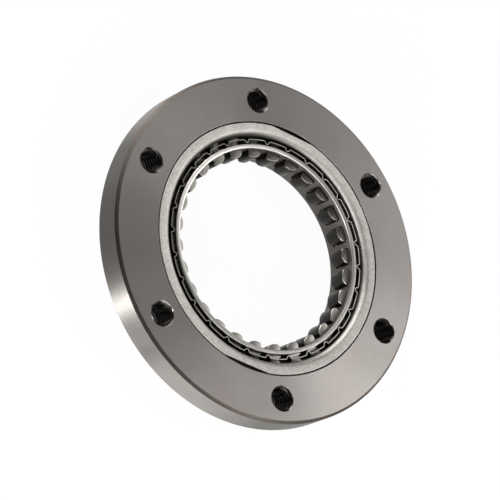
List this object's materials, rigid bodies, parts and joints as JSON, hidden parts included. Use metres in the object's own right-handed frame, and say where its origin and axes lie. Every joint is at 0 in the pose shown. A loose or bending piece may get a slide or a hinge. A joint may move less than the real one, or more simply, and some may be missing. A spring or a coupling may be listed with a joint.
{
  "type": "sprag clutch",
  "caption": "One-way sprag clutch: bolt-on steel outer ring with tapped holes, flanged outer cage, windowed inner cage, ribbon spring and separate tilting sprags.",
  "frame": {"origin": "on the clutch axis, in the plane of the cages' rear rims, which is the lowest plane", "axes": "+Z along the clutch axis, out of the bolted front face; +X midway between two tapped holes"},
  "size_m": [0.107, 0.107, 0.0128],
  "materials": {
    "ring_steel": "fine-turned and ground steel, satin face and polished rim",
    "cage_steel": "pressed steel sheet, tumbled to a pale satin",
    "inner_cage_steel": "pressed steel, tumbled satin",
    "spring_steel": "cold-rolled spring steel strip, smooth",
    "sprag_steel": "hardened steel, ground ends and tumbled edges"
  },
  "bodies": {
    "outer_ring": {"housing": "ring_steel"},
    "cage": {"outer_cage": "cage_steel", "ribbon_spring": "spring_steel"},
    "inner_cage": {"inner_cage": "inner_cage_steel"},
    "sprag_01": {"sprag_01": "sprag_steel"},
    "sprag_02": {"sprag_02": "sprag_steel"},
    "sprag_03": {"sprag_03": "sprag_steel"},
    "sprag_04": {"sprag_04": "sprag_steel"},
    "sprag_05": {"sprag_05": "sprag_steel"},
    "sprag_06": {"sprag_06": "sprag_steel"},
    "sprag_07": {"sprag_07": "sprag_steel"},
    "sprag_08": {"sprag_08": "sprag_steel"},
    "sprag_09": {"sprag_09": "sprag_steel"},
    "sprag_10": {"sprag_10": "sprag_steel"},
    "sprag_11": {"sprag_11": "sprag_steel"},
    "sprag_12": {"sprag_12": "sprag_steel"},
    "sprag_13": {"sprag_13": "sprag_steel"},
    "sprag_14": {"sprag_14": "sprag_steel"},
    "sprag_15": {"sprag_15": "sprag_steel"},
    "sprag_16": {"sprag_16": "sprag_steel"},
    "sprag_17": {"sprag_17": "sprag_steel"},
    "sprag_18": {"sprag_18": "sprag_steel"},
    "sprag_19": {"sprag_19": "sprag_steel"},
    "sprag_20": {"sprag_20": "sprag_steel"},
    "sprag_21": {"sprag_21": "sprag_steel"},
    "sprag_22": {"sprag_22": "sprag_steel"},
    "sprag_23": {"sprag_23": "sprag_steel"},
    "sprag_24": {"sprag_24": "sprag_steel"},
    "sprag_25": {"sprag_25": "sprag_steel"},
    "sprag_26": {"sprag_26": "sprag_steel"},
    "sprag_27": {"sprag_27": "sprag_steel"},
    "sprag_28": {"sprag_28": "sprag_steel"}
  },
  "joints": [
    {"name": "cage_spin", "type": "hinge", "parent": "outer_ring", "child": "cage", "pos_m": [0, 0, 0.0064], "axis": [0, 0, 1], "continuous": true},
    {"name": "inner_cage_shift", "type": "hinge", "parent": "cage", "child": "inner_cage", "pos_m": [0, 0, 0.0064], "axis": [0, 0, 1], "range_deg": [0, 0.7675], "stiffness_Nm_per_rad": 0.2},
    {"name": "sprag_01_lean", "type": "hinge", "parent": "cage", "child": "sprag_01", "pos_m": [0.03165, 0.01608, 0.00675], "axis": [0, 0, 1], "range_deg": [-6.5, 0]},
    {"name": "sprag_02_lean", "type": "hinge", "parent": "cage", "child": "sprag_02", "pos_m": [0.02728, 0.02272, 0.00675], "axis": [0, 0, 1], "range_deg": [-6.5, 0]},
    {"name": "sprag_03_lean", "type": "hinge", "parent": "cage", "child": "sprag_03", "pos_m": [0.02154, 0.02822, 0.00675], "axis": [0, 0, 1], "range_deg": [-6.5, 0]},
    {"name": "sprag_04_lean", "type": "hinge", "parent": "cage", "child": "sprag_04", "pos_m": [0.01472, 0.0323, 0.00675], "axis": [0, 0, 1], "range_deg": [-6.5, 0]},
    {"name": "sprag_05_lean", "type": "hinge", "parent": "cage", "child": "sprag_05", "pos_m": [0.00716, 0.03477, 0.00675], "axis": [0, 0, 1], "range_deg": [-6.5, 0]},
    {"name": "sprag_06_lean", "type": "hinge", "parent": "cage", "child": "sprag_06", "pos_m": [-0.00075, 0.03549, 0.00675], "axis": [0, 0, 1], "range_deg": [-6.5, 0]},
    {"name": "sprag_07_lean", "type": "hinge", "parent": "cage", "child": "sprag_07", "pos_m": [-0.00863, 0.03443, 0.00675], "axis": [0, 0, 1], "range_deg": [-6.5, 0]},
    {"name": "sprag_08_lean", "type": "hinge", "parent": "cage", "child": "sprag_08", "pos_m": [-0.01608, 0.03165, 0.00675], "axis": [0, 0, 1], "range_deg": [-6.5, 0]},
    {"name": "sprag_09_lean", "type": "hinge", "parent": "cage", "child": "sprag_09", "pos_m": [-0.02272, 0.02728, 0.00675], "axis": [0, 0, 1], "range_deg": [-6.5, 0]},
    {"name": "sprag_10_lean", "type": "hinge", "parent": "cage", "child": "sprag_10", "pos_m": [-0.02822, 0.02154, 0.00675], "axis": [0, 0, 1], "range_deg": [-6.5, 0]},
    {"name": "sprag_11_lean", "type": "hinge", "parent": "cage", "child": "sprag_11", "pos_m": [-0.0323, 0.01472, 0.00675], "axis": [0, 0, 1], "range_deg": [-6.5, 0]},
    {"name": "sprag_12_lean", "type": "hinge", "parent": "cage", "child": "sprag_12", "pos_m": [-0.03477, 0.00716, 0.00675], "axis": [0, 0, 1], "range_deg": [-6.5, 0]},
    {"name": "sprag_13_lean", "type": "hinge", "parent": "cage", "child": "sprag_13", "pos_m": [-0.03549, -0.00075, 0.00675], "axis": [0, 0, 1], "range_deg": [-6.5, 0]},
    {"name": "sprag_14_lean", "type": "hinge", "parent": "cage", "child": "sprag_14", "pos_m": [-0.03443, -0.00863, 0.00675], "axis": [0, 0, 1], "range_deg": [-6.5, 0]},
    {"name": "sprag_15_lean", "type": "hinge", "parent": "cage", "child": "sprag_15", "pos_m": [-0.03165, -0.01608, 0.00675], "axis": [0, 0, 1], "range_deg": [-6.5, 0]},
    {"name": "sprag_16_lean", "type": "hinge", "parent": "cage", "child": "sprag_16", "pos_m": [-0.02728, -0.02272, 0.00675], "axis": [0, 0, 1], "range_deg": [-6.5, 0]},
    {"name": "sprag_17_lean", "type": "hinge", "parent": "cage", "child": "sprag_17", "pos_m": [-0.02154, -0.02822, 0.00675], "axis": [0, 0, 1], "range_deg": [-6.5, 0]},
    {"name": "sprag_18_lean", "type": "hinge", "parent": "cage", "child": "sprag_18", "pos_m": [-0.01472, -0.0323, 0.00675], "axis": [0, 0, 1], "range_deg": [-6.5, 0]},
    {"name": "sprag_19_lean", "type": "hinge", "parent": "cage", "child": "sprag_19", "pos_m": [-0.00716, -0.03477, 0.00675], "axis": [0, 0, 1], "range_deg": [-6.5, 0]},
    {"name": "sprag_20_lean", "type": "hinge", "parent": "cage", "child": "sprag_20", "pos_m": [0.00075, -0.03549, 0.00675], "axis": [0, 0, 1], "range_deg": [-6.5, 0]},
    {"name": "sprag_21_lean", "type": "hinge", "parent": "cage", "child": "sprag_21", "pos_m": [0.00863, -0.03443, 0.00675], "axis": [0, 0, 1], "range_deg": [-6.5, 0]},
    {"name": "sprag_22_lean", "type": "hinge", "parent": "cage", "child": "sprag_22", "pos_m": [0.01608, -0.03165, 0.00675], "axis": [0, 0, 1], "range_deg": [-6.5, 0]},
    {"name": "sprag_23_lean", "type": "hinge", "parent": "cage", "child": "sprag_23", "pos_m": [0.02272, -0.02728, 0.00675], "axis": [0, 0, 1], "range_deg": [-6.5, 0]},
    {"name": "sprag_24_lean", "type": "hinge", "parent": "cage", "child": "sprag_24", "pos_m": [0.02822, -0.02154, 0.00675], "axis": [0, 0, 1], "range_deg": [-6.5, 0]},
    {"name": "sprag_25_lean", "type": "hinge", "parent": "cage", "child": "sprag_25", "pos_m": [0.0323, -0.01472, 0.00675], "axis": [0, 0, 1], "range_deg": [-6.5, 0]},
    {"name": "sprag_26_lean", "type": "hinge", "parent": "cage", "child": "sprag_26", "pos_m": [0.03477, -0.00716, 0.00675], "axis": [0, 0, 1], "range_deg": [-6.5, 0]},
    {"name": "sprag_27_lean", "type": "hinge", "parent": "cage", "child": "sprag_27", "pos_m": [0.03549, 0.00075, 0.00675], "axis": [0, 0, 1], "range_deg": [-6.5, 0]},
    {"name": "sprag_28_lean", "type": "hinge", "parent": "cage", "child": "sprag_28", "pos_m": [0.03443, 0.00863, 0.00675], "axis": [0, 0, 1], "range_deg": [-6.5, 0]}
  ],
  "couplings": [
    {"joint": "sprag_01_lean", "follows": "inner_cage_shift", "ratio": -8.4667},
    {"joint": "sprag_02_lean", "follows": "inner_cage_shift", "ratio": -8.4667},
    {"joint": "sprag_03_lean", "follows": "inner_cage_shift", "ratio": -8.4667},
    {"joint": "sprag_04_lean", "follows": "inner_cage_shift", "ratio": -8.4667},
    {"joint": "sprag_05_lean", "follows": "inner_cage_shift", "ratio": -8.4667},
    {"joint": "sprag_06_lean", "follows": "inner_cage_shift", "ratio": -8.4667},
    {"joint": "sprag_07_lean", "follows": "inner_cage_shift", "ratio": -8.4667},
    {"joint": "sprag_08_lean", "follows": "inner_cage_shift", "ratio": -8.4667},
    {"joint": "sprag_09_lean", "follows": "inner_cage_shift", "ratio": -8.4667},
    {"joint": "sprag_10_lean", "follows": "inner_cage_shift", "ratio": -8.4667},
    {"joint": "sprag_11_lean", "follows": "inner_cage_shift", "ratio": -8.4667},
    {"joint": "sprag_12_lean", "follows": "inner_cage_shift", "ratio": -8.4667},
    {"joint": "sprag_13_lean", "follows": "inner_cage_shift", "ratio": -8.4667},
    {"joint": "sprag_14_lean", "follows": "inner_cage_shift", "ratio": -8.4667},
    {"joint": "sprag_15_lean", "follows": "inner_cage_shift", "ratio": -8.4667},
    {"joint": "sprag_16_lean", "follows": "inner_cage_shift", "ratio": -8.4667},
    {"joint": "sprag_17_lean", "follows": "inner_cage_shift", "ratio": -8.4667},
    {"joint": "sprag_18_lean", "follows": "inner_cage_shift", "ratio": -8.4667},
    {"joint": "sprag_19_lean", "follows": "inner_cage_shift", "ratio": -8.4667},
    {"joint": "sprag_20_lean", "follows": "inner_cage_shift", "ratio": -8.4667},
    {"joint": "sprag_21_lean", "follows": "inner_cage_shift", "ratio": -8.4667},
    {"joint": "sprag_22_lean", "follows": "inner_cage_shift", "ratio": -8.4667},
    {"joint": "sprag_23_lean", "follows": "inner_cage_shift", "ratio": -8.4667},
    {"joint": "sprag_24_lean", "follows": "inner_cage_shift", "ratio": -8.4667},
    {"joint": "sprag_25_lean", "follows": "inner_cage_shift", "ratio": -8.4667},
    {"joint": "sprag_26_lean", "follows": "inner_cage_shift", "ratio": -8.4667},
    {"joint": "sprag_27_lean", "follows": "inner_cage_shift", "ratio": -8.4667},
    {"joint": "sprag_28_lean", "follows": "inner_cage_shift", "ratio": -8.4667}
  ]
}
